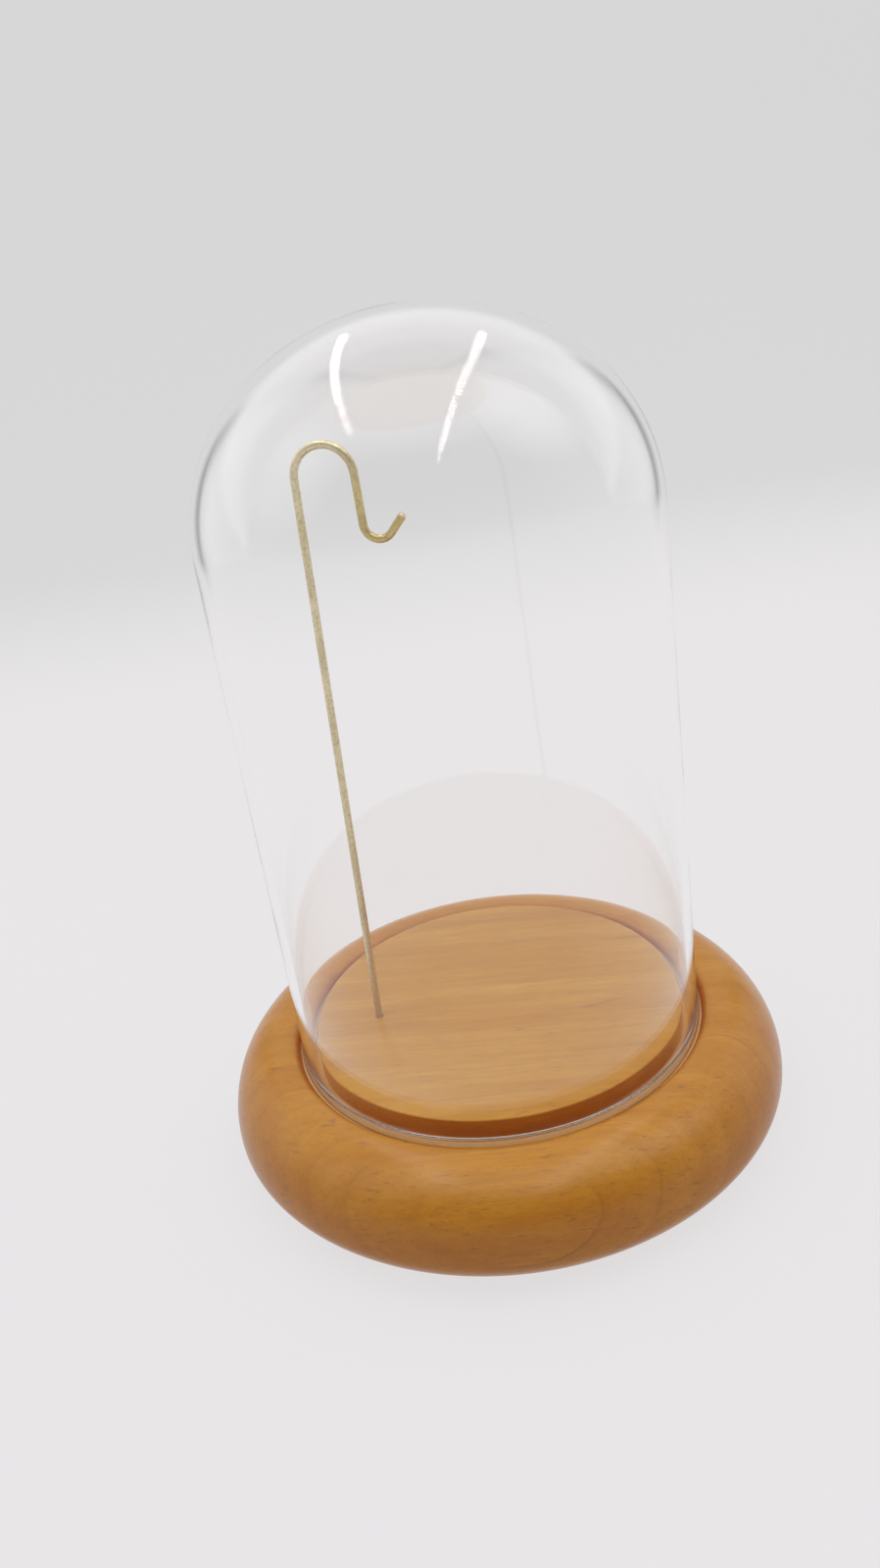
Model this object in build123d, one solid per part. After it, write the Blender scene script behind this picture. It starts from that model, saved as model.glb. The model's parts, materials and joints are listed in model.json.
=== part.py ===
from build123d import *
import os
from math import atan2, cos, degrees, radians, sin, sqrt

# Bell jar dome: a turned wooden base, a blown glass dome that stands in the base's
# groove, and a bent brass wire hook whose foot sits in a hole drilled in the base.
# Millimetres. The origin is the centre of the base's underside and +Z is up.

# Base, one turned piece of wood
BASE_RADIUS = 70.55
FOOT_RADIUS = 53.0
WAIST_HEIGHT = 10.0            # height at which the base is widest
CREST_RADIUS = 55.5
CREST_HEIGHT = 26.6
PLATEAU_RADIUS = 46.9
PLATEAU_HEIGHT = 29.4
PLATEAU_EDGE_ROUND = 0.4
GROOVE_OUTER_RADIUS = 51.6
GROOVE_FLOOR_HEIGHT = 23.2
GROOVE_CORNER_ROUND = 0.5
GROOVE_LIP_ROUND = 2.8         # the crest is flat between this round and CREST_RADIUS

# Glass dome, with a fire-polished bead round its open rim
GLASS_RADIUS = 50.8
GLASS_WALL = 2.0
GLASS_TOP_HEIGHT = 196.0
CROWN_START_HEIGHT = 151.2     # the straight wall ends here and the crown begins
CROWN_SIDE_RADIUS = 42.0       # the flatter top arc follows from this one
BEAD_RADIUS = 1.5
BEAD_CENTRE_RADIUS = 49.7
BEAD_REST_GAP = 0.2            # air between the bead and the groove's floor
BEAD_BLEND = 0.6               # hollow where the bead runs into the wall

# Wire hook, one bent wire
WIRE_RADIUS = 0.9
WIRE_END_BREAK = 0.15
HOOK_FOOT_X = -30.5
HOOK_FOOT_Y = -0.9
HOOK_AZIMUTH = -16.0           # degrees from +X to the vertical plane that the hook lies in
HOOK_LEAN = 1.7                # degrees that the stem leans towards the hook's seat
STEM_LENGTH = 135.5            # above the plateau
SHOULDER_RADIUS = 6.7          # bend radii are those of the wire's centre line
SHOULDER_TURN = 177.5
DROP_LENGTH = 10.5
SEAT_RADIUS = 3.45
SEAT_TURN = 138.0
TIP_LENGTH = 4.7

# Hole that holds the wire's foot
SOCKET_DEPTH = 12.0
SOCKET_RADIAL_CLEARANCE = 0.05
SOCKET_END_GAP = 0.2
SOCKET_OVERCUT = 2.0           # length of the drill above the plateau

NEAR = 0.01                    # how closely an edge must lie to be picked by its place


def hook_plane():
    """Plane of the bent wire: its origin is the foot at the plateau, its Y runs up the stem."""
    azimuth = radians(HOOK_AZIMUTH)
    lean = radians(HOOK_LEAN)
    across = (cos(lean) * cos(azimuth), cos(lean) * sin(azimuth), -sin(lean))
    normal = (sin(azimuth), -cos(azimuth), 0)
    return Plane(origin=(HOOK_FOOT_X, HOOK_FOOT_Y, PLATEAU_HEIGHT), x_dir=across, z_dir=normal)


def socket():
    """Drill that leaves the blind hole for the wire's foot, along the leaning stem."""
    drill_plane = Plane(origin=(0, -SOCKET_DEPTH, 0), x_dir=(1, 0, 0), z_dir=(0, 1, 0))
    section = drill_plane * Circle(WIRE_RADIUS + SOCKET_RADIAL_CLEARANCE)
    drill = extrude(section, SOCKET_DEPTH + SOCKET_OVERCUT, dir=(0, 1, 0))
    return hook_plane() * drill


def plateau_wall_end(base, height):
    """The round edge that ends the plateau's wall at this height."""
    return [edge for edge in base.edges().filter_by(GeomType.CIRCLE)
            if abs(edge.radius - PLATEAU_RADIUS) < NEAR and abs(edge.center().Z - height) < NEAR]


def turned_base():
    """Bullnosed wooden disc with a raised plateau and a groove round it."""
    lip_height = CREST_HEIGHT - GROOVE_LIP_ROUND
    foot = Line((0, 0), (FOOT_RADIUS, 0))
    under_curve = EllipticalCenterArc(
        (FOOT_RADIUS, WAIST_HEIGHT), BASE_RADIUS - FOOT_RADIUS, WAIST_HEIGHT,
        start_angle=-90, arc_size=90,
    )
    upper_curve = EllipticalCenterArc(
        (CREST_RADIUS, WAIST_HEIGHT), BASE_RADIUS - CREST_RADIUS, CREST_HEIGHT - WAIST_HEIGHT,
        start_angle=0, arc_size=90,
    )
    lip_centre_radius = GROOVE_OUTER_RADIUS + GROOVE_LIP_ROUND
    crest = Line((CREST_RADIUS, CREST_HEIGHT), (lip_centre_radius, CREST_HEIGHT))
    lip = CenterArc((lip_centre_radius, lip_height), GROOVE_LIP_ROUND, 90, 90)
    groove_and_plateau = Polyline(
        (GROOVE_OUTER_RADIUS, lip_height),
        (GROOVE_OUTER_RADIUS, GROOVE_FLOOR_HEIGHT),
        (PLATEAU_RADIUS, GROOVE_FLOOR_HEIGHT),
        (PLATEAU_RADIUS, PLATEAU_HEIGHT),
        (0, PLATEAU_HEIGHT),
        (0, 0),
    )
    outline = Curve() + [foot, under_curve, upper_curve, crest, lip, groove_and_plateau]
    base = revolve(Plane.XZ * make_face(outline), axis=Axis.Z)
    base = fillet(plateau_wall_end(base, PLATEAU_HEIGHT), PLATEAU_EDGE_ROUND)
    base = fillet(plateau_wall_end(base, GROOVE_FLOOR_HEIGHT), GROOVE_CORNER_ROUND)
    return base - socket()


def crown_arcs(inset):
    """Crown outline, inset from the outer surface: a side arc and a top arc, tangent."""
    rise = GLASS_TOP_HEIGHT - CROWN_START_HEIGHT
    side_centre_radius = GLASS_RADIUS - CROWN_SIDE_RADIUS
    top_radius = (side_centre_radius**2 + rise**2 - CROWN_SIDE_RADIUS**2) / (
        2 * (rise - CROWN_SIDE_RADIUS)
    )
    top_centre_height = GLASS_TOP_HEIGHT - top_radius
    side_turn = degrees(atan2(CROWN_START_HEIGHT - top_centre_height, side_centre_radius))
    side = CenterArc(
        (side_centre_radius, CROWN_START_HEIGHT), CROWN_SIDE_RADIUS - inset, 0, side_turn
    )
    top = CenterArc((0, top_centre_height), top_radius - inset, side_turn, 90 - side_turn)
    return [side, top]


def glass_dome():
    """Thin glass shell: straight wall, two-arc crown and a rounded rim bead."""
    inner_radius = GLASS_RADIUS - GLASS_WALL
    bead_height = GROOVE_FLOOR_HEIGHT + BEAD_REST_GAP + BEAD_RADIUS
    outer_joint = bead_height + sqrt(BEAD_RADIUS**2 - (GLASS_RADIUS - BEAD_CENTRE_RADIUS) ** 2)
    inner_joint = bead_height + sqrt(BEAD_RADIUS**2 - (inner_radius - BEAD_CENTRE_RADIUS) ** 2)
    bead = ThreePointArc(
        (inner_radius, inner_joint),
        (BEAD_CENTRE_RADIUS, bead_height - BEAD_RADIUS),
        (GLASS_RADIUS, outer_joint),
    )
    outer_wall = Line((GLASS_RADIUS, outer_joint), (GLASS_RADIUS, CROWN_START_HEIGHT))
    top = Line((0, GLASS_TOP_HEIGHT), (0, GLASS_TOP_HEIGHT - GLASS_WALL))
    inner_wall = Line((inner_radius, CROWN_START_HEIGHT), (inner_radius, inner_joint))
    edges = [bead, outer_wall, *crown_arcs(0), top, *crown_arcs(GLASS_WALL), inner_wall]
    dome = revolve(Plane.XZ * make_face(Curve() + edges), axis=Axis.Z)
    hollows = [edge for edge in dome.edges().filter_by(GeomType.CIRCLE)
               if bead_height < edge.center().Z < bead_height + BEAD_RADIUS]
    return fillet(hollows, BEAD_BLEND)


def hook_wire():
    """Brass wire: foot in its hole, stem, shoulder bend, short drop, seat and raised tip."""
    foot = Vector(0, SOCKET_END_GAP - SOCKET_DEPTH)
    stem = Line(foot, (0, STEM_LENGTH))
    shoulder = JernArc(stem @ 1, stem % 1, SHOULDER_RADIUS, -SHOULDER_TURN)
    drop = Line(shoulder @ 1, shoulder @ 1 + (shoulder % 1) * DROP_LENGTH)
    seat = JernArc(drop @ 1, drop % 1, SEAT_RADIUS, SEAT_TURN)
    tip = Line(seat @ 1, seat @ 1 + (seat % 1) * TIP_LENGTH)
    route = Wire([stem, shoulder, drop, seat, tip])
    section = Plane(origin=foot, z_dir=(0, 1, 0)) * Circle(WIRE_RADIUS)
    wire = sweep(section, path=route)
    flat_ends = wire.faces().filter_by(GeomType.PLANE)
    wire = chamfer(flat_ends.edges(), WIRE_END_BREAK)
    return hook_plane() * wire


os.makedirs("parts", exist_ok=True)
for name, make in (
    ("turned_base", turned_base),
    ("glass_dome", glass_dome),
    ("hook_wire", hook_wire),
):
    solid = make()
    solid.label = name
    export_step(solid, f"parts/{name}.step")
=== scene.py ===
"""Looks of the bell jar dome: turned wooden base, glass dome and brass wire hook.

Everything is in metres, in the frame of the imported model.
"""

import json
from math import atan2, cos, degrees, pi, radians, sin, sqrt

import bmesh
import bpy
from mathutils import Matrix, Vector


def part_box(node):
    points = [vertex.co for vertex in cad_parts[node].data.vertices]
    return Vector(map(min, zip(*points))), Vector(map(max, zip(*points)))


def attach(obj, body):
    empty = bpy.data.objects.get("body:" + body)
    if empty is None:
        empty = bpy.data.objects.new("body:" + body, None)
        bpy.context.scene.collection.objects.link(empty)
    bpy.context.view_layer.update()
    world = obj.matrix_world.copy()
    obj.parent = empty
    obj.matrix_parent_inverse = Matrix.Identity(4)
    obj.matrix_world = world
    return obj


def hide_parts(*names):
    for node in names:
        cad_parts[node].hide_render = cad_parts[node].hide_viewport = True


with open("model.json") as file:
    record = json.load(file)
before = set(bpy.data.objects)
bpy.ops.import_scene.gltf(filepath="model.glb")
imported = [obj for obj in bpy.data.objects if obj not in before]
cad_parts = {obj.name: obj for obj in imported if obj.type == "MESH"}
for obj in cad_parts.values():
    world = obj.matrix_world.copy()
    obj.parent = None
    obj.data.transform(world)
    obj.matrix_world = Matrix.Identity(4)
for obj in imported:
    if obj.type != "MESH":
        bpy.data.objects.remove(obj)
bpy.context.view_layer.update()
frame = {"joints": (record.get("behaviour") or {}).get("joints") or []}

MM = 0.001

# Base profile
base_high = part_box("turned_base")[1]
BASE_RADIUS = base_high.x
PLATEAU_HEIGHT = base_high.z
FOOT_RADIUS = 53.0 * MM
WAIST_HEIGHT = 10.0 * MM
CREST_RADIUS = 55.5 * MM
CREST_HEIGHT = 26.6 * MM
PLATEAU_RADIUS = 46.9 * MM
PLATEAU_EDGE_ROUND = 0.4 * MM
GROOVE_OUTER_RADIUS = 51.6 * MM
GROOVE_FLOOR_HEIGHT = 23.2 * MM
GROOVE_LIP_ROUND = 2.8 * MM
GROOVE_CORNER_ROUND = 0.5 * MM
BASE_SEGMENTS = 288

# Glass profile
glass_low, glass_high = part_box("glass_dome")
GLASS_RADIUS = 50.8 * MM
GLASS_WALL = 2.0 * MM
GLASS_TOP_HEIGHT = glass_high.z
CROWN_START_HEIGHT = 151.2 * MM
CROWN_SIDE_RADIUS = 42.0 * MM
BEAD_RADIUS = 1.5 * MM
BEAD_CENTRE_RADIUS = glass_high.x - BEAD_RADIUS
BEAD_HEIGHT = glass_low.z + BEAD_RADIUS
BEAD_BLEND = 0.6 * MM
GLASS_SEGMENTS = 256
WALL_STEPS = 40
CROWN_STEPS = 30              # in each of the crown's two arcs

# Wire hook: the foot and the stem's direction are those of the joint it turns on
swivel = next(joint for joint in frame["joints"] if joint["name"] == "hook_swivel")
HOOK_FOOT = Vector(swivel["pos_m"])
STEM_DIRECTION = Vector(swivel["axis"]).normalized()
WIRE_RADIUS = 0.9 * MM
WIRE_END_BREAK = 0.15 * MM
HOOK_AZIMUTH = radians(-16.0)
STEM_LENGTH = 135.5 * MM
SHOULDER_RADIUS = 6.7 * MM
SHOULDER_TURN = radians(177.5)
DROP_LENGTH = 10.5 * MM
SEAT_RADIUS = 3.45 * MM
SEAT_TURN = radians(138.0)
TIP_LENGTH = 4.7 * MM
SOCKET_RADIUS = 0.95 * MM
SOCKET_DEPTH = 12.0 * MM
SOCKET_END_GAP = 0.2 * MM
WIRE_SIDES = 32


# ---------------------------------------------------------------- mesh helpers

def arc(centre, radii, start, end, steps):
    """Points of an elliptical arc in the profile plane; angles in degrees, both ends included."""
    points = []
    for step in range(steps + 1):
        angle = radians(start + (end - start) * step / steps)
        points.append((centre[0] + radii[0] * cos(angle), centre[1] + radii[1] * sin(angle)))
    return points


def run(start, end, steps):
    """Points along a straight run, the end included and the start left out."""
    return [
        (start[0] + (end[0] - start[0]) * step / steps, start[1] + (end[1] - start[1]) * step / steps)
        for step in range(1, steps + 1)
    ]


def ring(mesh, radius, height, segments):
    """One circle of vertices round the Z axis, or a single vertex on it."""
    if radius < 1e-7:
        return [mesh.verts.new((0, 0, height))]
    return [
        mesh.verts.new((radius * cos(2 * pi * k / segments), radius * sin(2 * pi * k / segments), height))
        for k in range(segments)
    ]


def bridge(mesh, lower, upper):
    """Faces between two neighbouring rings, with triangles where one is a single vertex."""
    count = max(len(lower), len(upper))
    for k in range(count):
        following = (k + 1) % count
        corners = [
            lower[k % len(lower)], lower[following % len(lower)],
            upper[following % len(upper)], upper[k % len(upper)],
        ]
        mesh.faces.new(list(dict.fromkeys(corners)))


def lathe(mesh, profile, segments):
    """Turns a profile of (radius, height) points round the Z axis, and returns its rings."""
    rings = [ring(mesh, radius, height, segments) for radius, height in profile]
    for lower, upper in zip(rings, rings[1:]):
        bridge(mesh, lower, upper)
    return rings


def finish_mesh(name, mesh, sharp_angle):
    """Makes an object of the bmesh, smooth shaded, with edges over sharp_angle kept crisp."""
    bmesh.ops.recalc_face_normals(mesh, faces=mesh.faces)
    data = bpy.data.meshes.new(name)
    mesh.to_mesh(data)
    mesh.free()
    data.polygons.foreach_set("use_smooth", [True] * len(data.polygons))
    data.set_sharp_from_angle(angle=radians(sharp_angle))
    piece = bpy.data.objects.new(name, data)
    bpy.context.scene.collection.objects.link(piece)
    return piece


# ---------------------------------------------------------------- pieces

def base_profile():
    """Outline of the wood from the middle of the underside to the plateau's outer edge."""
    waist = (BASE_RADIUS - FOOT_RADIUS, WAIST_HEIGHT)
    crest = (BASE_RADIUS - CREST_RADIUS, CREST_HEIGHT - WAIST_HEIGHT)
    lip = GROOVE_LIP_ROUND
    profile = [(0, 0), (FOOT_RADIUS * 0.5, 0)]
    profile += arc((FOOT_RADIUS, WAIST_HEIGHT), waist, -90, 0, 28)
    profile += arc((CREST_RADIUS, WAIST_HEIGHT), crest, 0, 90, 36)[1:]
    profile += arc((GROOVE_OUTER_RADIUS + lip, CREST_HEIGHT - lip), (lip, lip), 90, 180, 14)
    profile += [(GROOVE_OUTER_RADIUS, GROOVE_FLOOR_HEIGHT)]
    corner = (PLATEAU_RADIUS + GROOVE_CORNER_ROUND, GROOVE_FLOOR_HEIGHT + GROOVE_CORNER_ROUND)
    profile += arc(corner, (GROOVE_CORNER_ROUND,) * 2, -90, -180, 5)
    edge = (PLATEAU_RADIUS - PLATEAU_EDGE_ROUND, PLATEAU_HEIGHT - PLATEAU_EDGE_ROUND)
    profile += arc(edge, (PLATEAU_EDGE_ROUND,) * 2, 0, 90, 5)
    return profile


def turned_wood():
    """The turned base, with the wire's blind hole in its plateau."""
    mesh = bmesh.new()
    rings = lathe(mesh, base_profile(), BASE_SEGMENTS)
    tilt = Vector((0, 0, 1)).rotation_difference(STEM_DIRECTION)
    mouth_levels = [(SOCKET_RADIUS + WIRE_END_BREAK, 0), (SOCKET_RADIUS, -WIRE_END_BREAK)]
    levels = mouth_levels + [(SOCKET_RADIUS, -SOCKET_DEPTH)]
    hole_rings = []
    for radius, depth in levels:
        circle = ring(mesh, radius, 0, WIRE_SIDES)
        for vertex in circle:
            flat = vertex.co.copy()
            vertex.co = HOOK_FOOT + tilt @ (flat + Vector((0, 0, depth)))
            if depth == 0:
                vertex.co.z = PLATEAU_HEIGHT
        hole_rings.append(circle)
    for upper, lower in zip(hole_rings, hole_rings[1:]):
        bridge(mesh, upper, lower)
    mesh.faces.new(hole_rings[-1])
    rim_edges = [
        edge for edge in mesh.edges
        if edge.is_boundary and all(v in set(rings[-1]) | set(hole_rings[0]) for v in edge.verts)
    ]
    bmesh.ops.triangle_fill(mesh, use_beauty=True, edges=rim_edges)
    return finish_mesh("turned_wood", mesh, 40)


def crown(inset):
    """Crown outline, inset from the outer surface, from the wall up to the pole."""
    rise = GLASS_TOP_HEIGHT - CROWN_START_HEIGHT
    side_centre = GLASS_RADIUS - CROWN_SIDE_RADIUS
    spread = side_centre**2 + rise**2 - CROWN_SIDE_RADIUS**2
    top_radius = spread / (2 * (rise - CROWN_SIDE_RADIUS))
    top_centre = GLASS_TOP_HEIGHT - top_radius
    turn = degrees(atan2(CROWN_START_HEIGHT - top_centre, side_centre))
    side_radii = (CROWN_SIDE_RADIUS - inset,) * 2
    side = arc((side_centre, CROWN_START_HEIGHT), side_radii, 0, turn, CROWN_STEPS)
    top = arc((0, top_centre), (top_radius - inset,) * 2, turn, 90, CROWN_STEPS)
    return side + top[1:-1] + [(0, top_centre + top_radius - inset)]


def blown_glass():
    """The glass dome, a closed shell with a bead that runs softly into the wall at its rim."""
    inner = GLASS_RADIUS - GLASS_WALL
    # Each hollow touches the wall and the bead, so its centre is as far from the bead's as both radii
    reach = BEAD_RADIUS + BEAD_BLEND
    outer_across = GLASS_RADIUS + BEAD_BLEND - BEAD_CENTRE_RADIUS
    inner_across = BEAD_CENTRE_RADIUS - (inner - BEAD_BLEND)
    outer_rise = sqrt(reach**2 - outer_across**2)
    inner_rise = sqrt(reach**2 - inner_across**2)
    outer_angle = degrees(atan2(outer_rise, outer_across))
    inner_angle = degrees(atan2(inner_rise, -inner_across))
    blend = (BEAD_BLEND,) * 2
    inner_centre = (BEAD_CENTRE_RADIUS - inner_across, BEAD_HEIGHT + inner_rise)
    outer_centre = (BEAD_CENTRE_RADIUS + outer_across, BEAD_HEIGHT + outer_rise)
    bead_centre = (BEAD_CENTRE_RADIUS, BEAD_HEIGHT)
    bead = arc(inner_centre, blend, 0, inner_angle - 180, 8)
    bead += arc(bead_centre, (BEAD_RADIUS,) * 2, inner_angle - 360, outer_angle, 48)[1:]
    bead += arc(outer_centre, blend, outer_angle + 180, 180, 8)[1:]
    outer_wall = run(bead[-1], (GLASS_RADIUS, CROWN_START_HEIGHT), WALL_STEPS)
    inner_wall = run(bead[0], (inner, CROWN_START_HEIGHT), WALL_STEPS)
    mesh = bmesh.new()
    outer_rings = lathe(mesh, bead + outer_wall + crown(0)[1:], GLASS_SEGMENTS)
    inner_rings = lathe(mesh, inner_wall + crown(GLASS_WALL)[1:], GLASS_SEGMENTS)
    bridge(mesh, outer_rings[0], inner_rings[0])
    return finish_mesh("blown_glass", mesh, 60)


def wire_route():
    """Centre line of the wire in the hook's own plane, as (point, heading, length so far)."""
    stations = []

    def straight(point, heading, length, steps, travelled):
        for step in range(1, steps + 1):
            part = length * step / steps
            place = point + Vector((cos(heading), sin(heading))) * part
            stations.append((place, heading, travelled + part))
        return stations[-1]

    def bend(point, heading, radius, turn, steps, travelled):
        side = 1 if turn > 0 else -1
        centre = point + Vector((-sin(heading), cos(heading))) * radius * side
        for step in range(1, steps + 1):
            angle = heading + turn * step / steps
            place = centre + Vector((sin(angle), -cos(angle))) * radius * side
            stations.append((place, angle, travelled + radius * abs(turn) * step / steps))
        return stations[-1]

    foot = Vector((0, SOCKET_END_GAP - SOCKET_DEPTH))
    stations.append((foot, pi / 2, 0.0))
    end = straight(foot, pi / 2, STEM_LENGTH + foot.length, 60, 0.0)
    end = bend(end[0], end[1], SHOULDER_RADIUS, -SHOULDER_TURN, 56, end[2])
    end = straight(end[0], end[1], DROP_LENGTH, 8, end[2])
    end = bend(end[0], end[1], SEAT_RADIUS, SEAT_TURN, 40, end[2])
    straight(end[0], end[1], TIP_LENGTH, 6, end[2])
    return stations


def bent_wire():
    """The brass wire, swept round its route, with plain cut ends."""
    normal = Vector((sin(HOOK_AZIMUTH), -cos(HOOK_AZIMUTH), 0))
    across = STEM_DIRECTION.cross(normal).normalized()
    stations = wire_route()
    mesh = bmesh.new()
    uv = mesh.loops.layers.uv.new("along_wire")
    total = stations[-1][2]
    # Each level is a station, how far the section is shifted along the wire, and its radius
    end_radius = WIRE_RADIUS - WIRE_END_BREAK
    levels = [(stations[0], 0, end_radius), (stations[0], WIRE_END_BREAK, WIRE_RADIUS)]
    levels += [(station, 0, WIRE_RADIUS) for station in stations[1:-1]]
    levels += [(stations[-1], -WIRE_END_BREAK, WIRE_RADIUS), (stations[-1], 0, end_radius)]
    rings = []
    for (point, heading, travelled), shift, radius in levels:
        forward = across * cos(heading) + STEM_DIRECTION * sin(heading)
        sideways = across * -sin(heading) + STEM_DIRECTION * cos(heading)
        centre = HOOK_FOOT + across * point.x + STEM_DIRECTION * point.y + forward * shift
        circle = []
        for k in range(WIRE_SIDES):
            angle = 2 * pi * k / WIRE_SIDES
            outward = sideways * cos(angle) + normal * sin(angle)
            circle.append(mesh.verts.new(centre + outward * radius))
        rings.append((circle, travelled + shift))
    for (lower, low_length), (upper, high_length) in zip(rings, rings[1:]):
        for k in range(WIRE_SIDES):
            following = (k + 1) % WIRE_SIDES
            face = mesh.faces.new((lower[k], lower[following], upper[following], upper[k]))
            corners = ((k, low_length), (k + 1, low_length), (k + 1, high_length), (k, high_length))
            for loop, (turn, length) in zip(face.loops, corners):
                loop[uv].uv = (turn / WIRE_SIDES, length / total)
    for (circle, _), share in ((rings[0], 0.0), (rings[-1], 1.0)):
        cap = mesh.faces.new(circle)
        for loop in cap.loops:
            loop[uv].uv = (0.5, share)
    return finish_mesh("bent_wire", mesh, 35)


# ---------------------------------------------------------------- shader nodes

def grey(level):
    return (level, level, level, 1)


class Nodes:
    """Shader nodes of one material or world, with short calls that add and join them."""

    def __init__(self, owner):
        owner.use_nodes = True
        self.owner = owner
        self.tree = owner.node_tree
        self.tree.nodes.clear()

    def set(self, node, key, value):
        """Joins a socket to an input, or puts a plain value there; the key is a name or an index."""
        socket = node.inputs[int(key)] if key.isdigit() else node.inputs[key]
        if isinstance(value, bpy.types.NodeSocket):
            self.tree.links.new(value, socket)
        else:
            socket.default_value = value

    def add(self, kind, settings=None, **inputs):
        node = self.tree.nodes.new(kind)
        for key, value in (settings or {}).items():
            setattr(node, key, value)
        for key, value in inputs.items():
            self.set(node, key.replace("_", " "), value)
        return node

    def math(self, operation, first, second=0.0, clamp=False):
        settings = {"operation": operation, "use_clamp": clamp}
        return self.add("ShaderNodeMath", settings, **{"0": first, "1": second}).outputs[0]

    def plus(self, first, second):
        return self.math("ADD", first, second)

    def minus(self, first, second):
        return self.math("SUBTRACT", first, second)

    def times(self, first, second, clamp=False):
        return self.math("MULTIPLY", first, second, clamp)

    def over(self, first, second, clamp=False):
        return self.math("DIVIDE", first, second, clamp)

    def hypotenuse(self, first, second):
        return self.math("SQRT", self.plus(self.times(first, first), self.times(second, second)))

    def rising(self, value, start, slope):
        """0 up to start, and then slope for each unit past it, up to 1."""
        return self.times(self.minus(value, start), slope, clamp=True)

    def falling(self, value, end, slope):
        """0 past end, and slope for each unit before it, up to 1."""
        return self.times(self.minus(end, value), slope, clamp=True)

    def ramp(self, value, *stops):
        """Grey levels at the given values, and straight lines between them."""
        node = self.add("ShaderNodeValToRGB", None, **{"0": value})
        elements = node.color_ramp.elements
        while len(elements) < len(stops):
            elements.new(0.5)
        for element, (position, level) in zip(elements, stops):
            element.position = position
            element.color = grey(level)
        return node.outputs[0]

    def mix(self, share, first, second, blend="MIX"):
        settings = {"data_type": "RGBA", "blend_type": blend}
        return self.add("ShaderNodeMix", settings, **{"0": share, "6": first, "7": second}).outputs[2]

    def noise(self, spot, scale=1.0, detail=2.0, rough=0.5):
        return self.add("ShaderNodeTexNoise", None, Vector=spot, Scale=scale, Detail=detail,
                        Roughness=rough).outputs["Fac"]

    def join(self, first, second, third):
        """One vector of three values."""
        return self.add("ShaderNodeCombineXYZ", None, **{"0": first, "1": second, "2": third}).outputs[0]

    def split(self, vector):
        return self.add("ShaderNodeSeparateXYZ", None, **{"0": vector}).outputs

    def place(self):
        """The place on the object, in metres."""
        return self.add("ShaderNodeTexCoord").outputs["Object"]

    def output(self, shader, kind="ShaderNodeOutputMaterial"):
        self.add(kind, None, Surface=shader.outputs[0])
        return self.owner


# ---------------------------------------------------------------- wood

# Growth rings, in millimetres: the tree's pith runs roughly along X, behind and below the board
PITH_Y = 83.0
PITH_Z = -72.0
PITH_SKEW = 0.10              # how far the pith turns towards -Y for each millimetre along X
RING_RADIUS = 110.0           # of the rings that cross the base, roughly
RING_SPACING = 5.3
RING_DRIFT = 9.0              # how far the rings stray from true circles, crest to hollow
# One mineral streak on the plateau
STREAK_START = Vector((20.1, -9.7))
STREAK_END = Vector((36.6, -7.2))
STREAK_HALF_WIDTH = 0.42
STREAK_WANDER = 1.6
# Tones of the beech, and what the plateau, the lower side and the groove's walls multiply them by. All of
# these but the two beech tones are painted light and shade: the plateau's tint is a painted sheen of
# reflected light, the lower side's tint is painted shade, the groove's wall tones are painted shade and
# the groove floor's tone is painted light.
BEECH_DARK = (0.500, 0.196, 0.012, 1)
BEECH_LIGHT = (0.590, 0.268, 0.030, 1)
GROOVE_FLOOR_LIGHT = (0.760, 0.470, 0.210, 1)
PLATEAU_SHEEN_TINT = (1.04, 1.15, 1.33, 1)
LOWER_SIDE_SHADE_TINT = (0.77, 0.67, 0.39, 1)
GROOVE_SHADE_DARK = (0.62, 0.27, 0.10, 1)
GROOVE_SHADE_LIGHT = (0.92, 0.52, 0.30, 1)


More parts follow.
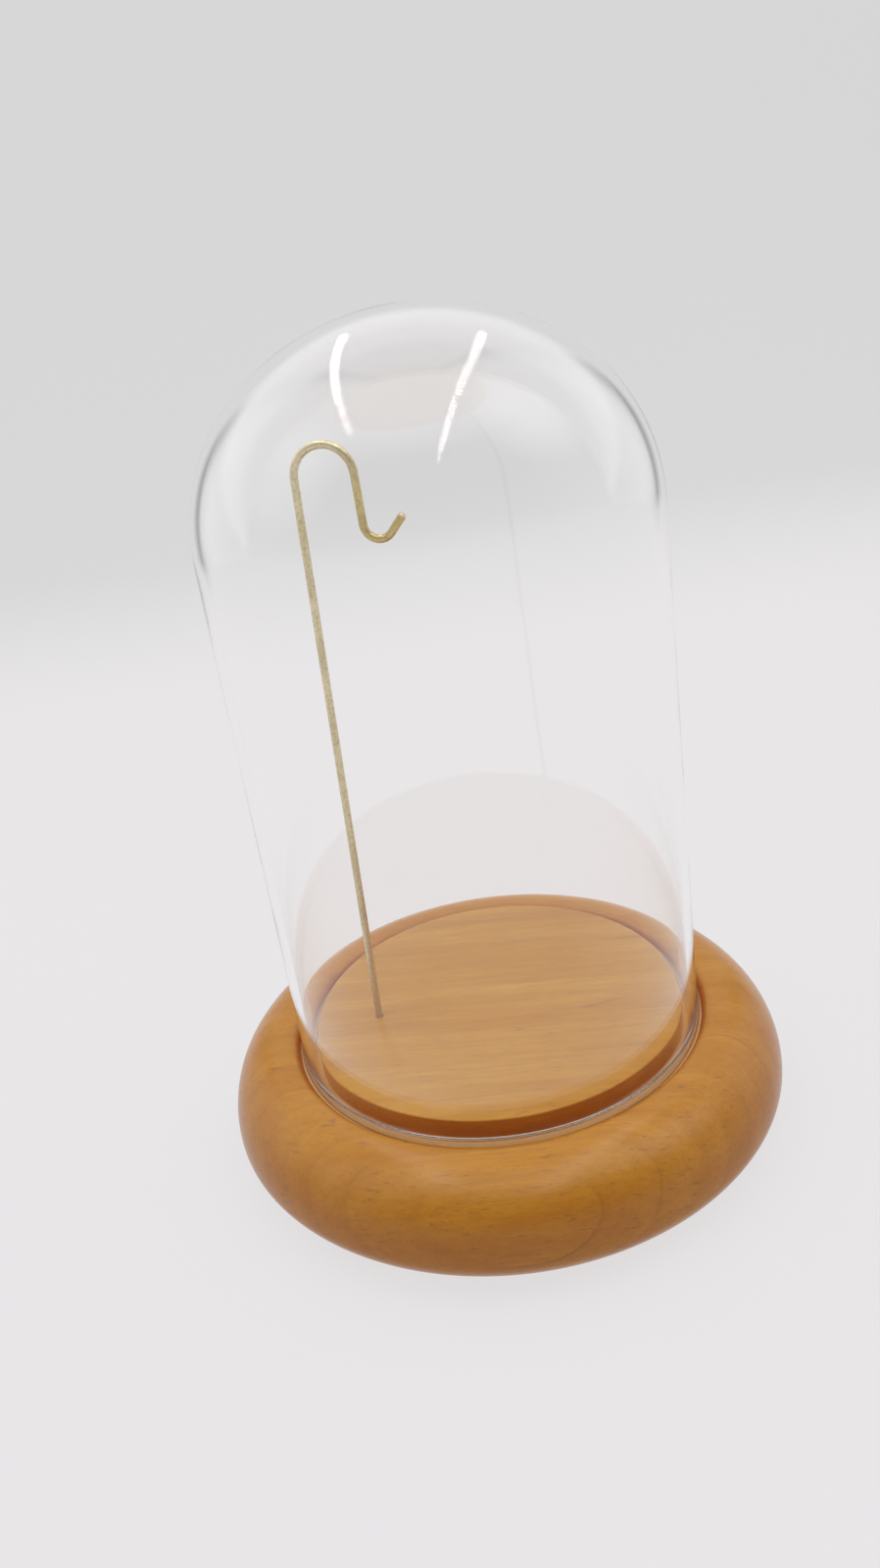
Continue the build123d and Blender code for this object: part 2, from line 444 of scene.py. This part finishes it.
class Wood(Nodes):
    """Nodes of the beech. Its lengths are in millimetres."""

    def __init__(self, owner):
        super().__init__(owner)
        scale = {"0": self.place(), "Scale": 1 / MM}
        spot = self.add("ShaderNodeVectorMath", {"operation": "SCALE"}, **scale).outputs[0]
        self.x, self.y, self.z = self.split(spot)
        self.radius = self.hypotenuse(self.x, self.y)
        # The wood's own axes: along the pith, round it and out from it
        drift = self.times(self.minus(self.noise(spot, 0.012), 0.5), RING_DRIFT)
        back = self.minus(self.plus(self.y, self.times(self.x, PITH_SKEW)), PITH_Y)
        rise = self.minus(self.z, PITH_Z)
        self.round = self.times(self.math("ARCTAN2", back, rise), RING_RADIUS)
        self.out = self.plus(self.hypotenuse(back, rise), drift)

    def grain(self, along, across, out, detail=2.0, rough=0.5, shift=0.0):
        """Noise whose grains are this long along, round and out from the pith."""
        spot = self.join(self.plus(self.over(self.x, along), shift), self.over(self.round, across),
                         self.over(self.out, out))
        return self.noise(spot, 1.0, detail, rough)

    def growth_rings(self):
        """Each ring darkens slowly, then ends in a thin dark line that comes and goes."""
        phase = self.math("FRACT", self.over(self.out, RING_SPACING))
        late = self.ramp(phase, (0.0, 0.0), (0.55, 0.10), (0.93, 0.42), (1.0, 0.05))
        line = self.ramp(phase, (0.925, 0.0), (0.955, 1.0), (0.965, 1.0), (0.99, 0.0))
        presence = self.ramp(self.grain(24, 14, 6, 1.0), (0.56, 0.0), (0.75, 1.0))
        return late, self.times(line, presence)

    def ray_flecks(self):
        """Thin sheets that stand across the rings, in some places closer than in others."""
        where = self.minus(self.grain(14, 8, 8, 1.0, shift=2.1), 0.5)
        level = self.plus(self.grain(3.4, 0.42, 6.0, 2.0, 0.55, shift=7.3), self.times(where, 0.20))
        large = self.ramp(level, (0.645, 0.0), (0.71, 1.0))
        small = self.ramp(self.grain(2.2, 0.30, 3.0, 1.0, shift=31.0), (0.68, 0.0), (0.78, 1.0))
        return large, small

    def mineral_streak(self):
        """One long dark streak on the plateau, which tapers at both ends."""
        toward = STREAK_END - STREAK_START
        length = toward.length
        toward.normalize()
        east = self.minus(self.x, STREAK_START.x)
        north = self.minus(self.y, STREAK_START.y)
        travelled = self.plus(self.times(east, toward.x), self.times(north, toward.y))
        taper = self.ramp(self.over(travelled, length), (0.0, 0.0), (0.18, 1.0), (0.5, 0.55), (1.0, 0.0))
        wander = self.times(self.minus(self.grain(5, 5, 5), 0.5), STREAK_WANDER)
        straight = self.minus(self.times(north, toward.x), self.times(east, toward.y))
        aside = self.math("ABSOLUTE", self.plus(straight, wander))
        return self.times(taper, self.falling(aside, STREAK_HALF_WIDTH, 1 / STREAK_HALF_WIDTH))

    def plateau_sheen_and_side_shade(self, colour):
        """Painted light on the base: the flat plateau is made paler and bluer, a painted sheen of
        reflected light, and the round side darker towards the bottom, painted shade.
        """
        inside = self.falling(self.radius, PLATEAU_RADIUS / MM + 0.1, 6.0)
        on_top = self.rising(self.z, PLATEAU_HEIGHT / MM - 0.3, 6.0)
        # Painted sheen: the plateau's top is tinted paler and bluer, standing in for reflected light
        colour = self.mix(self.times(inside, on_top), colour, PLATEAU_SHEEN_TINT, "MULTIPLY")
        # Painted shade: the side grows darker and more saturated towards the bottom
        low = self.falling(self.z, CREST_HEIGHT / MM - 0.5, 0.09)
        return self.mix(low, colour, LOWER_SIDE_SHADE_TINT, "MULTIPLY")

    def groove(self, colour):
        """Painted shade on the groove's walls, varied in fine rings round the turn, and painted light on
        its floor, which is made paler.
        """
        between = self.times(self.rising(self.radius, PLATEAU_RADIUS / MM - 0.15, 6.0),
                             self.falling(self.radius, GROOVE_OUTER_RADIUS / MM + 1.6, 0.8))
        on_walls = self.times(self.falling(self.z, PLATEAU_HEIGHT / MM - 0.15, 4.0),
                              self.rising(self.z, GROOVE_FLOOR_HEIGHT / MM + 0.606, 1.6))
        # Painted shade on the groove's walls and the lip beside them, varied by a noise in fine rings
        # round the turn
        turns = self.times(self.math("ARCTAN2", self.y, self.x), 2.0)
        shade_spot = self.join(turns, self.times(self.radius, 3.0), self.times(self.z, 2.2))
        shade_rings = self.noise(shade_spot, detail=3.0)
        wall_shade = self.mix(shade_rings, GROOVE_SHADE_DARK, GROOVE_SHADE_LIGHT)
        shaded_walls = self.mix(1.0, colour, wall_shade, "MULTIPLY")
        colour = self.mix(self.times(between, on_walls), colour, shaded_walls)
        # Painted light: the groove's floor is made paler
        on_floor = self.times(between, self.falling(self.z, GROOVE_FLOOR_HEIGHT / MM + 1.4, 1.2))
        return self.mix(self.times(on_floor, 0.75), colour, GROOVE_FLOOR_LIGHT)


def wood_material():
    """Lacquered beech: growth rings, fibres and ray flecks, with a painted sheen on the plateau, painted
    shade on the lower side and in the turned groove, and painted light on the groove's floor.
    """
    m = Wood(bpy.data.materials.new("honey_beech"))
    bands = m.ramp(m.grain(70, 7, 7, 3.0), (0.30, 0.0), (0.72, 1.0))
    fibres = m.grain(16, 0.7, 0.7, 4.0, 0.6)
    pores = m.grain(3.2, 0.13, 0.13, 2.0, 0.6)
    dashes = m.ramp(m.grain(2.6, 0.20, 0.34, 1.0, shift=17.0), (0.705, 0.0), (0.77, 1.0))
    late, ring_line = m.growth_rings()
    flecks, small_flecks = m.ray_flecks()
    streak = m.mineral_streak()
    colour = m.mix(bands, BEECH_DARK, BEECH_LIGHT)
    for share, tone in (
        (m.times(late, 0.45), (0.375, 0.125, 0.008, 1)),
        (m.ramp(fibres, (0.32, 0.34), (0.62, 0.0)), (0.360, 0.122, 0.008, 1)),
        (m.ramp(pores, (0.30, 0.34), (0.48, 0.0)), (0.270, 0.090, 0.010, 1)),
        (m.times(ring_line, 0.48), (0.165, 0.060, 0.014, 1)),
        (m.times(flecks, 0.48), (0.235, 0.086, 0.014, 1)),
        (m.times(small_flecks, 0.32), (0.260, 0.095, 0.018, 1)),
        (m.times(dashes, 0.70), (0.190, 0.066, 0.014, 1)),
        (m.times(streak, 0.8), (0.150, 0.056, 0.020, 1)),
    ):
        colour = m.mix(share, colour, tone)
    # The plateau gets a painted sheen and the lower side painted shade; the groove gets painted shade on
    # its walls and painted light on its floor
    colour = m.groove(m.plateau_sheen_and_side_shade(colour))
    roughness = m.plus(m.plus(m.times(fibres, 0.10), 0.18), m.times(flecks, 0.10))
    relief = m.plus(m.times(fibres, 0.5), m.times(pores, 0.5))
    relief = m.minus(relief, m.times(m.plus(flecks, streak), 0.6))
    bump = m.add("ShaderNodeBump", None, Strength=0.12, Distance=0.0001, Height=relief)
    shader = m.add("ShaderNodeBsdfPrincipled", None, Base_Color=colour, Roughness=roughness, IOR=1.5,
                   Normal=bump.outputs[0])
    m.set(shader, "Specular IOR Level", 0.40)
    return m.output(shader)


# ---------------------------------------------------------------- glass and brass

def glass_material():
    """Clear blown glass, very slightly wavy; shadow and diffuse rays pass straight through it."""
    m = Nodes(bpy.data.materials.new("clear_glass"))
    wave = m.noise(m.place(), 38.0, 1.0)
    bump = m.add("ShaderNodeBump", None, Strength=0.25, Distance=0.00012, Height=wave)
    glass = m.add("ShaderNodeBsdfPrincipled", None, Base_Color=grey(1.0), Roughness=0.0, IOR=1.52,
                  Transmission_Weight=1.0, Normal=bump.outputs[0])
    clear = m.add("ShaderNodeBsdfTransparent", None, Color=grey(0.985))
    path = m.add("ShaderNodeLightPath")
    through = m.math("MAXIMUM", path.outputs["Is Shadow Ray"], path.outputs["Is Diffuse Ray"])
    shaders = {"0": through, "1": glass.outputs[0], "2": clear.outputs[0]}
    return m.output(m.add("ShaderNodeMixShader", None, **shaders))


# Places along the wire, as shares of its length from foot to tip
GOLDEN_FROM = 0.84
GOLDEN_FULL = 0.95
TIP_FACE_SHARE = 0.9991
TIP_FACE_BLEND = 0.0002
# Tones of the pale stem and of the golden seat, each bright and tarnished, and of the cut tip
STEM_BRIGHT = (0.800, 0.700, 0.440, 1)
STEM_DULL = (0.580, 0.490, 0.280, 1)
SEAT_BRIGHT = (0.700, 0.560, 0.220, 1)
SEAT_DULL = (0.490, 0.380, 0.140, 1)
TIP_FACE_TONE = (0.850, 0.680, 0.520, 1)


def brass_material():
    """Drawn brass wire: die lines along it, patches of dull tarnish, a freshly cut pale end."""
    m = Nodes(bpy.data.materials.new("satin_brass"))
    turn, share, _ = m.split(m.add("ShaderNodeUVMap", {"uv_map": "along_wire"}).outputs[0])
    angle = m.times(turn, 2 * pi)
    lines_spot = m.join(m.times(m.math("COSINE", angle), 9.0), m.times(m.math("SINE", angle), 9.0),
                        m.times(share, 14.0))
    lines = m.noise(lines_spot, 1.0, 4.0, 0.6)
    patches = m.noise(m.place(), 140.0, 3.0)
    grain = m.noise(m.place(), 1600.0)
    # The stem has dulled to a pale tone; the seat and the tip are more golden
    golden = m.ramp(share, (GOLDEN_FROM, 0.0), (GOLDEN_FULL, 1.0))
    colour = m.mix(golden, STEM_BRIGHT, SEAT_BRIGHT)
    dull = m.mix(golden, STEM_DULL, SEAT_DULL)
    tip_face = m.ramp(share, (TIP_FACE_SHARE - TIP_FACE_BLEND, 0.0), (TIP_FACE_SHARE, 1.0))
    for cover, tone in (
        (m.ramp(patches, (0.38, 0.0), (0.66, 0.55)), dull),
        (m.ramp(lines, (0.36, 0.50), (0.57, 0.0)), (0.330, 0.255, 0.110, 1)),
        (m.ramp(grain, (0.38, 0.40), (0.52, 0.0)), (0.330, 0.265, 0.130, 1)),
        (tip_face, TIP_FACE_TONE),
    ):
        colour = m.mix(cover, colour, tone)
    roughness = m.plus(m.plus(m.times(patches, 0.22), 0.20), m.times(lines, 0.10))
    relief = m.plus(m.times(lines, 0.8), m.times(grain, 0.2))
    bump = m.add("ShaderNodeBump", None, Strength=0.22, Distance=0.00003, Height=relief)
    return m.output(m.add("ShaderNodeBsdfPrincipled", None, Base_Color=colour, Roughness=roughness,
                          Metallic=1.0, Normal=bump.outputs[0]))


# ---------------------------------------------------------------- light box

# Paper that lies flat under the object and curves up into a wall behind it, in metres
FLOOR_HALF_WIDTH = 12.0
FLOOR_FRONT = -2.0
SWEEP_START = 0.42
SWEEP_RADIUS = 0.30
WALL_TOP = 4.0
# Its own glow, and the heights where the wall's tone begins and is full
PAPER_GLOW_FLOOR = (0.704, 0.690, 0.702, 1)
PAPER_GLOW_WALL = (0.612, 0.606, 0.610, 1)
PAPER_TURN_LOW = 0.0
PAPER_TURN_HIGH = 0.045
# Out of the camera's view the wall is brighter high up and at both sides, and darker at its seams
PAPER_RAMP_HEIGHT = 2.0
PAPER_HIGH_EXTRA = 0.30
PAPER_SEAM_DARKENING = 0.55
PAPER_SIDE_START = 0.62
PAPER_LEFT_EXTRA = 0.45
PAPER_RIGHT_EXTRA = 0.40


def paper_material():
    """Back-lit pale paper: mostly its own glow, so that only a faint shadow falls on it."""
    m = Nodes(bpy.data.materials.new("pale_paper"))
    across, _, height = m.split(m.place())
    colour = m.mix(m.noise(m.place(), 3.0, 3.0), grey(0.094), grey(0.106))
    turn = m.over(m.minus(height, PAPER_TURN_LOW), PAPER_TURN_HIGH - PAPER_TURN_LOW, clamp=True)
    glow = m.mix(turn, PAPER_GLOW_FLOOR, PAPER_GLOW_WALL)
    high = m.ramp(m.over(height, PAPER_RAMP_HEIGHT), (0.25, 0.0), (0.33, 1.0), (0.62, 0.8), (0.76, 0.0))
    strength = m.plus(1.0, m.times(high, PAPER_HIGH_EXTRA / PAPER_GLOW_WALL[0]))
    seam = m.ramp(m.math("ABSOLUTE", across), (0.46, 0.0), (0.52, 1.0), (0.60, 1.0), (0.72, 0.0))
    seam = m.times(m.times(seam, turn), m.minus(1.0, high))
    strength = m.minus(strength, m.times(seam, PAPER_SEAM_DARKENING))
    for side, extra in ((-1.0, PAPER_LEFT_EXTRA), (1.0, PAPER_RIGHT_EXTRA)):
        aside = m.times(m.rising(m.times(across, side), PAPER_SIDE_START, 2.5), turn)
        strength = m.plus(strength, m.times(aside, extra))
    shader = m.add("ShaderNodeBsdfPrincipled", None, Base_Color=colour, Roughness=0.9,
                   Emission_Color=glow, Emission_Strength=strength)
    m.set(shader, "Specular IOR Level", 0.1)
    return m.output(shader)


def backdrop():
    """The paper, swept from its front edge along the floor and up the wall."""
    outline = [(FLOOR_FRONT, 0), (0, 0)]
    outline += arc((SWEEP_START, SWEEP_RADIUS), (SWEEP_RADIUS,) * 2, -90, 0, 48)
    outline += [(SWEEP_START + SWEEP_RADIUS, WALL_TOP)]
    mesh = bmesh.new()
    rows = [
        [mesh.verts.new((side * FLOOR_HALF_WIDTH, y, z)) for side in (-1, 1)] for y, z in outline
    ]
    for near, far in zip(rows, rows[1:]):
        mesh.faces.new((near[0], near[1], far[1], far[0]))
    paper = finish_mesh("paper_sweep", mesh, 60)
    paper.data.materials.append(paper_material())


# Two strips of small lamps under the roof, as (start, end) over the floor
ROOF_HEIGHT = 0.62
STRIPS = (((-0.13, 0.52), (-0.215, -0.18)), ((0.19, 0.36), (0.08, -0.50)))
LAMPS_ALONG = 44
LAMP_ROWS = 3
LAMP_PITCH = 0.008
LAMP_SIZE = 0.0026
LED_STRENGTH = 125.0


def led_material():
    """Plain light, nearly white."""
    m = Nodes(bpy.data.materials.new("led"))
    return m.output(m.add("ShaderNodeEmission", None, Color=(1.0, 0.985, 0.97, 1), Strength=LED_STRENGTH))


def led_strips():
    """Rows of small square lamps that look down on the object."""
    mesh = bmesh.new()
    for start, end in STRIPS:
        start, end = Vector(start), Vector(end)
        toward = (end - start).normalized()
        across = Vector((-toward.y, toward.x))
        for k in range(LAMPS_ALONG):
            for row in range(LAMP_ROWS):
                middle = start + (end - start) * k / (LAMPS_ALONG - 1)
                middle += across * (row - (LAMP_ROWS - 1) / 2) * LAMP_PITCH
                corners = [
                    middle + (toward * a + across * b) * LAMP_SIZE / 2
                    for a, b in ((-1, -1), (-1, 1), (1, 1), (1, -1))
                ]
                mesh.faces.new([mesh.verts.new((c.x, c.y, ROOF_HEIGHT)) for c in corners])
    lamps = finish_mesh("led_strips", mesh, 60)
    lamps.data.materials.append(led_material())


# Brightness of what surrounds the paper, and the open front's share of it
SKY_TOP = 1.35
SKY_SIDE = 0.62
SKY_HORIZON_EXTRA = 0.17
SKY_FRONT_SHARE = 0.26
# Soft bright panels: direction towards each, and how much it adds
PANELS = (((0.66, -0.05, 0.75), 0.7), ((-0.81, -0.15, 0.57), 0.5))
PANEL_EDGE = 0.90             # cosine of the angle from a panel's middle to its edge


def surroundings():
    """Bright roof, paler sides and a dim open front, as seen from the object."""
    world = bpy.data.worlds.new("studio")
    bpy.context.scene.world = world
    sky = Nodes(world)
    x, y, z = sky.split(sky.add("ShaderNodeTexCoord").outputs["Generated"])
    level = sky.plus(SKY_SIDE, sky.times(sky.rising(z, 0.50, 2.4), SKY_TOP - SKY_SIDE))
    level = sky.plus(level, sky.times(sky.falling(z, 0.25, 4.0), SKY_HORIZON_EXTRA))
    below_roof = sky.falling(z, 0.97, 5.0)
    over_horizon = sky.rising(z, 0.0, 1.7)
    open_front = sky.times(sky.times(sky.falling(y, -0.12, 2.2), below_roof), over_horizon)
    level = sky.times(level, sky.minus(1.0, sky.times(open_front, 1.0 - SKY_FRONT_SHARE)))
    for toward, extra in PANELS:
        facing = sky.plus(sky.plus(sky.times(x, toward[0]), sky.times(y, toward[1])),
                          sky.times(z, toward[2]))
        level = sky.plus(level, sky.times(sky.rising(facing, PANEL_EDGE, 11.0), extra))
    background = sky.add("ShaderNodeBackground", None, Color=(1.0, 0.995, 0.995, 1), Strength=level)
    sky.output(background, "ShaderNodeOutputWorld")


# ---------------------------------------------------------------- camera

# Where it stands, and the way it looks
CAMERA_PLACE = Vector((0.083, -248.77, 195.93)) * MM
CAMERA_AZIMUTH = radians(-1.39)
CAMERA_DIP = radians(22.99)
CAMERA_ROLL = radians(-8.65)
CAMERA_LENS = 26.14
CAMERA_SENSOR = 36.0


def camera():
    """A camera that looks down at the object from the front, a little rolled."""
    forward = Vector((
        sin(CAMERA_AZIMUTH) * cos(CAMERA_DIP), cos(CAMERA_AZIMUTH) * cos(CAMERA_DIP), -sin(CAMERA_DIP)
    ))
    level = forward.cross(Vector((0, 0, 1))).normalized()
    upright = level.cross(forward)
    image_right = level * cos(CAMERA_ROLL) + upright * sin(CAMERA_ROLL)
    image_up = upright * cos(CAMERA_ROLL) - level * sin(CAMERA_ROLL)
    turn = Matrix((image_right, image_up, -forward)).transposed()
    data = bpy.data.cameras.new("camera")
    data.lens = CAMERA_LENS
    data.sensor_width = CAMERA_SENSOR
    data.clip_start = 0.01
    data.clip_end = 20
    view = bpy.data.objects.new("camera", data)
    bpy.context.scene.collection.objects.link(view)
    view.matrix_world = Matrix.Translation(CAMERA_PLACE) @ turn.to_4x4()
    bpy.context.scene.camera = view


# ---------------------------------------------------------------- assembly

for make, material, body, node, slot in (
    (turned_wood, wood_material, "base", "turned_base", "lacquered_wood"),
    (blown_glass, glass_material, "dome", "glass_dome", "clear_glass"),
    (bent_wire, brass_material, "hook", "hook_wire", "brass_wire"),
):
    piece = make()
    piece.data.materials.append(material())
    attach(piece, body)
    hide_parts(node)

backdrop()
led_strips()
surroundings()
camera()

scene = bpy.context.scene
scene.view_settings.view_transform = "Standard"
scene.cycles.max_bounces = 24
scene.cycles.transmission_bounces = 24
scene.cycles.glossy_bounces = 12
scene.cycles.transparent_max_bounces = 24
